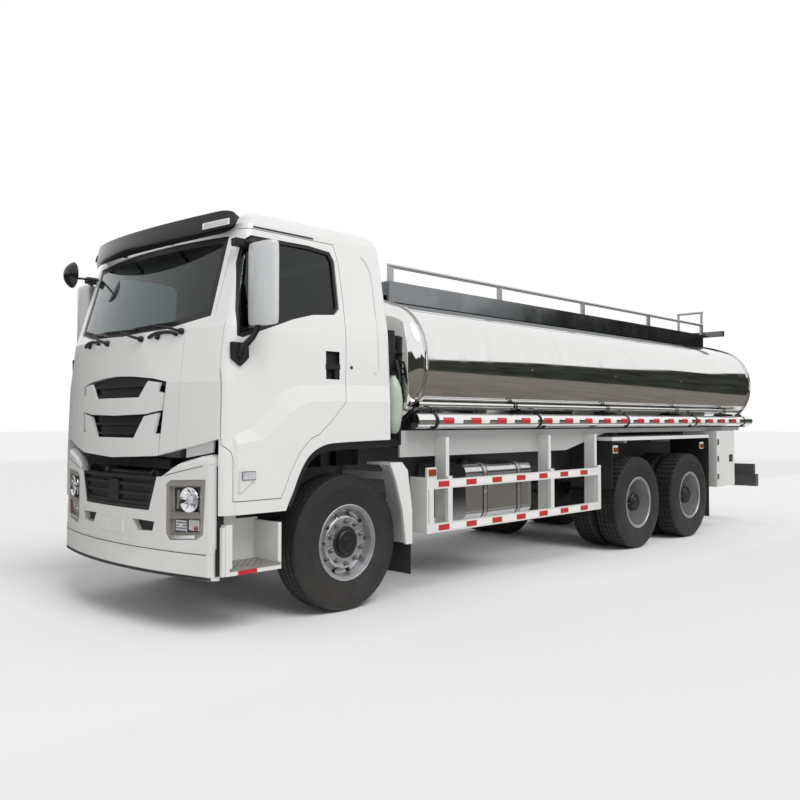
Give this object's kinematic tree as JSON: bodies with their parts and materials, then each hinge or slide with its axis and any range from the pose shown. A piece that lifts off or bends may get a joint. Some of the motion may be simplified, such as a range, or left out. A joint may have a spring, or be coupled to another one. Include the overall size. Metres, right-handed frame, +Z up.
{
  "type": "tanker truck",
  "caption": "Tilt-cab road tanker with an oval polished tank, roof walkway, side guards, steered front axle and a driven rear bogie",
  "frame": {"origin": "centre of the truck's bounding box on the ground", "axes": "+X forward along the truck, +Y to its left, +Z up"},
  "size_m": [9.7, 3.02, 3.2378],
  "materials": {
    "cab_paint": "gloss paint, light road dust",
    "chassis_paint": "satin chassis paint with dust",
    "tank_steel": "mirror-polished stainless sheet",
    "deck_steel": "dull stainless sheet",
    "rail_steel": "satin steel tube",
    "fuel_tank_metal": "polished aluminium",
    "engine_iron": "painted castings with grime",
    "tyre": "worn black rubber",
    "rubber": "matt rubber sheet",
    "rim_paint": "silver-grey wheel paint",
    "black_plastic": "grained black plastic",
    "smoked_visor": "smoked acrylic",
    "lamp_lens": "clear lens over bright bezel",
    "glass": "lightly tinted safety glass",
    "seat_fabric": "grey woven cloth",
    "mirror_case": "silver painted housing"
  },
  "bodies": {
    "chassis": {"tank_shell": "tank_steel", "frame_rails": "chassis_paint", "tank_bearers": "chassis_paint", "tank_saddles": "chassis_paint", "side_skirts": "cab_paint", "side_tubes": "cab_paint", "walkway": "deck_steel", "handrails_and_ladder": "rail_steel", "rear_mudguards": "cab_paint", "mudflaps": "rubber", "cabinets": "cab_paint", "side_guards": "cab_paint", "fuel_tank": "fuel_tank_metal", "battery_and_air_tanks": "chassis_paint", "air_intake": "black_plastic", "engine_and_shaft": "engine_iron", "front_axle": "engine_iron", "rear_axles": "engine_iron", "leaf_springs": "engine_iron", "rear_underrun": "cab_paint", "discharge_pipe": "rail_steel", "bumper": "cab_paint", "bumper_grille": "black_plastic", "headlamps": "lamp_lens", "cab_steps": "cab_paint"},
    "cab": {"cab_roof": "cab_paint", "cab_rear_wall": "cab_paint", "cab_front": "cab_paint", "cab_sides": "cab_paint", "windscreen": "glass", "cab_floor": "chassis_paint", "front_grille": "black_plastic", "sun_visor": "smoked_visor", "dashboard": "black_plastic", "seats": "seat_fabric", "front_mirror": "black_plastic"},
    "door_left": {"door_left": "cab_paint", "door_glass_left": "glass", "mirror_left": "mirror_case"},
    "door_right": {"door_right": "cab_paint", "door_glass_right": "glass", "mirror_right": "mirror_case"},
    "manhole_lid_front": {"manhole_lid_front": "deck_steel"},
    "manhole_lid_rear": {"manhole_lid_rear": "deck_steel"},
    "cabinet_door_left": {"cabinet_door_left": "cab_paint"},
    "cabinet_door_right": {"cabinet_door_right": "cab_paint"},
    "knuckle_left": {"knuckle_left": "engine_iron"},
    "knuckle_right": {"knuckle_right": "engine_iron"},
    "wheel_front_left": {"tyre_front_left": "tyre", "rim_front_left": "rim_paint"},
    "wheel_front_right": {"tyre_front_right": "tyre", "rim_front_right": "rim_paint"},
    "wheels_rear_1_left": {"tyres_rear_1_left": "tyre", "rim_rear_1_left": "rim_paint"},
    "wheels_rear_1_right": {"tyres_rear_1_right": "tyre", "rim_rear_1_right": "rim_paint"},
    "wheels_rear_2_left": {"tyres_rear_2_left": "tyre", "rim_rear_2_left": "rim_paint"},
    "wheels_rear_2_right": {"tyres_rear_2_right": "tyre", "rim_rear_2_right": "rim_paint"}
  },
  "joints": [
    {"name": "cab_tilt", "type": "hinge", "parent": "chassis", "child": "cab", "pos_m": [4.67, 0, 1.1], "axis": [0, 1, 0], "range_deg": [0, 45]},
    {"name": "door_left_hinge", "type": "hinge", "parent": "cab", "child": "door_left", "pos_m": [4.675, 1.215, 1.8], "axis": [0, 0, -1], "range_deg": [0, 70]},
    {"name": "door_right_hinge", "type": "hinge", "parent": "cab", "child": "door_right", "pos_m": [4.675, -1.215, 1.8], "axis": [0, 0, 1], "range_deg": [0, 70]},
    {"name": "manhole_lid_front_hinge", "type": "hinge", "parent": "chassis", "child": "manhole_lid_front", "pos_m": [0.45, 0, 2.8251], "axis": [0, -1, 0], "range_deg": [0, 100]},
    {"name": "manhole_lid_rear_hinge", "type": "hinge", "parent": "chassis", "child": "manhole_lid_rear", "pos_m": [-2.98, 0, 2.8251], "axis": [0, -1, 0], "range_deg": [0, 100]},
    {"name": "cabinet_left_hinge", "type": "hinge", "parent": "chassis", "child": "cabinet_door_left", "pos_m": [-3.313, 1.245, 1], "axis": [0, 0, -1], "range_deg": [0, 100]},
    {"name": "cabinet_right_hinge", "type": "hinge", "parent": "chassis", "child": "cabinet_door_right", "pos_m": [-3.313, -1.245, 1], "axis": [0, 0, 1], "range_deg": [0, 100]},
    {"name": "steer_left", "type": "hinge", "parent": "chassis", "child": "knuckle_left", "pos_m": [3.45, 0.86, 0.541], "axis": [0, 0, 1], "range_deg": [-38, 38]},
    {"name": "steer_right", "type": "hinge", "parent": "chassis", "child": "knuckle_right", "pos_m": [3.45, -0.86, 0.541], "axis": [0, 0, 1], "range_deg": [-38, 38]},
    {"name": "spin_front_left", "type": "hinge", "parent": "knuckle_left", "child": "wheel_front_left", "pos_m": [3.45, 1.03, 0.541], "axis": [0, 1, 0], "continuous": true},
    {"name": "spin_front_right", "type": "hinge", "parent": "knuckle_right", "child": "wheel_front_right", "pos_m": [3.45, -1.03, 0.541], "axis": [0, 1, 0], "continuous": true},
    {"name": "spin_rear_1_left", "type": "hinge", "parent": "chassis", "child": "wheels_rear_1_left", "pos_m": [-1.15, 0.92, 0.541], "axis": [0, 1, 0], "continuous": true},
    {"name": "spin_rear_1_right", "type": "hinge", "parent": "chassis", "child": "wheels_rear_1_right", "pos_m": [-1.15, -0.92, 0.541], "axis": [0, 1, 0], "continuous": true},
    {"name": "spin_rear_2_left", "type": "hinge", "parent": "chassis", "child": "wheels_rear_2_left", "pos_m": [-2.52, 0.92, 0.541], "axis": [0, 1, 0], "continuous": true},
    {"name": "spin_rear_2_right", "type": "hinge", "parent": "chassis", "child": "wheels_rear_2_right", "pos_m": [-2.52, -0.92, 0.541], "axis": [0, 1, 0], "continuous": true}
  ],
  "couplings": [
    {"joint": "steer_right", "follows": "steer_left", "ratio": 1}
  ]
}
